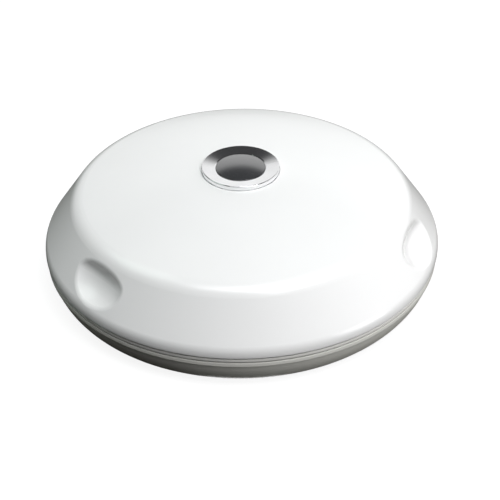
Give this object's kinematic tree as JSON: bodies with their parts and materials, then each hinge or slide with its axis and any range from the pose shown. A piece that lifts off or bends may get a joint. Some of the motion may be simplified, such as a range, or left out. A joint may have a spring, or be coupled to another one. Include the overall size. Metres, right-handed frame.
{
  "type": "motion sensor",
  "caption": "Round ceiling motion detector: a domed white cover with a chrome-ringed lens over a wired sensor head that twists onto a screw-on mounting plate.",
  "frame": {"origin": "centre of the mounting plate's back face, which meets the ceiling", "axes": "+Z out of the mounting face, through the lens; +Y towards the first finger dimple of the cover"},
  "size_m": [0.11, 0.11, 0.0349],
  "materials": {
    "plate_plastic": "fine-textured moulded ABS",
    "housing_plastic": "fine-textured moulded ABS",
    "cover_plastic": "polished white ABS",
    "bezel_chrome": "bright plated",
    "lens_plastic": "polished grey infrared-clear polyethylene",
    "seal_rubber": "soft matt",
    "grommet_rubber": "soft matt",
    "board_laminate": "green solder mask on glass laminate",
    "black_plastic": "moulded",
    "contact_metal": "tin-plated brass",
    "screw_steel": "zinc-plated",
    "can_metal": "nickel-plated",
    "window_glass": "dark infrared filter",
    "led_plastic": "clear red",
    "terminal_plastic": "moulded green",
    "relay_plastic": "moulded",
    "capacitor_sleeve": "shrunk sleeve",
    "chip_epoxy": "moulded epoxy",
    "resistor_ceramic": "glazed",
    "capacitor_ceramic": "fired",
    "switch_red": "moulded",
    "trimmer_blue": "moulded",
    "slider_white": "moulded",
    "spring_steel": "drawn wire"
  },
  "bodies": {
    "mount": {"mounting_plate": "plate_plastic", "cable_grommet": "grommet_rubber"},
    "head": {"rear_housing": "housing_plastic", "housing_seal": "seal_rubber", "circuit_board": "board_laminate", "board_screws": "screw_steel", "sensor_tower": "black_plastic", "sensor_board": "board_laminate", "link_header": "black_plastic", "link_pins": "contact_metal", "pir_can": "can_metal", "pir_window": "window_glass", "walk_test_led": "led_plastic", "terminal_block": "terminal_plastic", "terminal_clamps": "contact_metal", "terminal_screws": "screw_steel", "alarm_relay": "relay_plastic", "smoothing_capacitors": "capacitor_sleeve", "microcontroller": "chip_epoxy", "signal_amplifier": "chip_epoxy", "timing_crystal": "can_metal", "voltage_regulator": "chip_epoxy", "surge_suppressor": "chip_epoxy", "chip_resistors": "resistor_ceramic", "chip_capacitors": "capacitor_ceramic", "dip_switch_body": "switch_red", "trimmer_body": "trimmer_blue", "tamper_switch_body": "black_plastic", "tamper_spring": "spring_steel"},
    "cover": {"cover": "cover_plastic", "lens_bezel": "bezel_chrome", "lens": "lens_plastic", "lens_seal": "seal_rubber", "lens_nut": "black_plastic"},
    "slider_1": {"dip_slider_1": "slider_white"},
    "slider_2": {"dip_slider_2": "slider_white"},
    "slider_3": {"dip_slider_3": "slider_white"},
    "rotor": {"trimmer_rotor": "slider_white"},
    "plunger": {"tamper_plunger": "slider_white"}
  },
  "joints": [
    {"name": "head_twist", "type": "hinge", "parent": "mount", "child": "head", "pos_m": [0, 0, 0.004], "axis": [0, 0, 1], "range_deg": [0, 24]},
    {"name": "cover_lift", "type": "slide", "parent": "head", "child": "cover", "axis": [0, 0, 1], "range_m": [0, 0.03]},
    {"name": "dip_slide_1", "type": "slide", "parent": "head", "child": "slider_1", "axis": [0, 1, 0], "range_m": [0, 0.002]},
    {"name": "dip_slide_2", "type": "slide", "parent": "head", "child": "slider_2", "axis": [0, 1, 0], "range_m": [0, 0.002]},
    {"name": "dip_slide_3", "type": "slide", "parent": "head", "child": "slider_3", "axis": [0, 1, 0], "range_m": [0, 0.002]},
    {"name": "trimmer_turn", "type": "hinge", "parent": "head", "child": "rotor", "pos_m": [-0.031, -0.007, 0.0165], "axis": [0, 0, 1], "range_deg": [-130, 130]},
    {"name": "tamper_press", "type": "slide", "parent": "head", "child": "plunger", "axis": [0, 0, 1], "range_m": [0, 0.0015], "deforming": ["tamper_spring"]}
  ],
  "couplings": [
    {"joint": "tamper_press", "follows": "cover_lift", "ratio": 0.05}
  ]
}
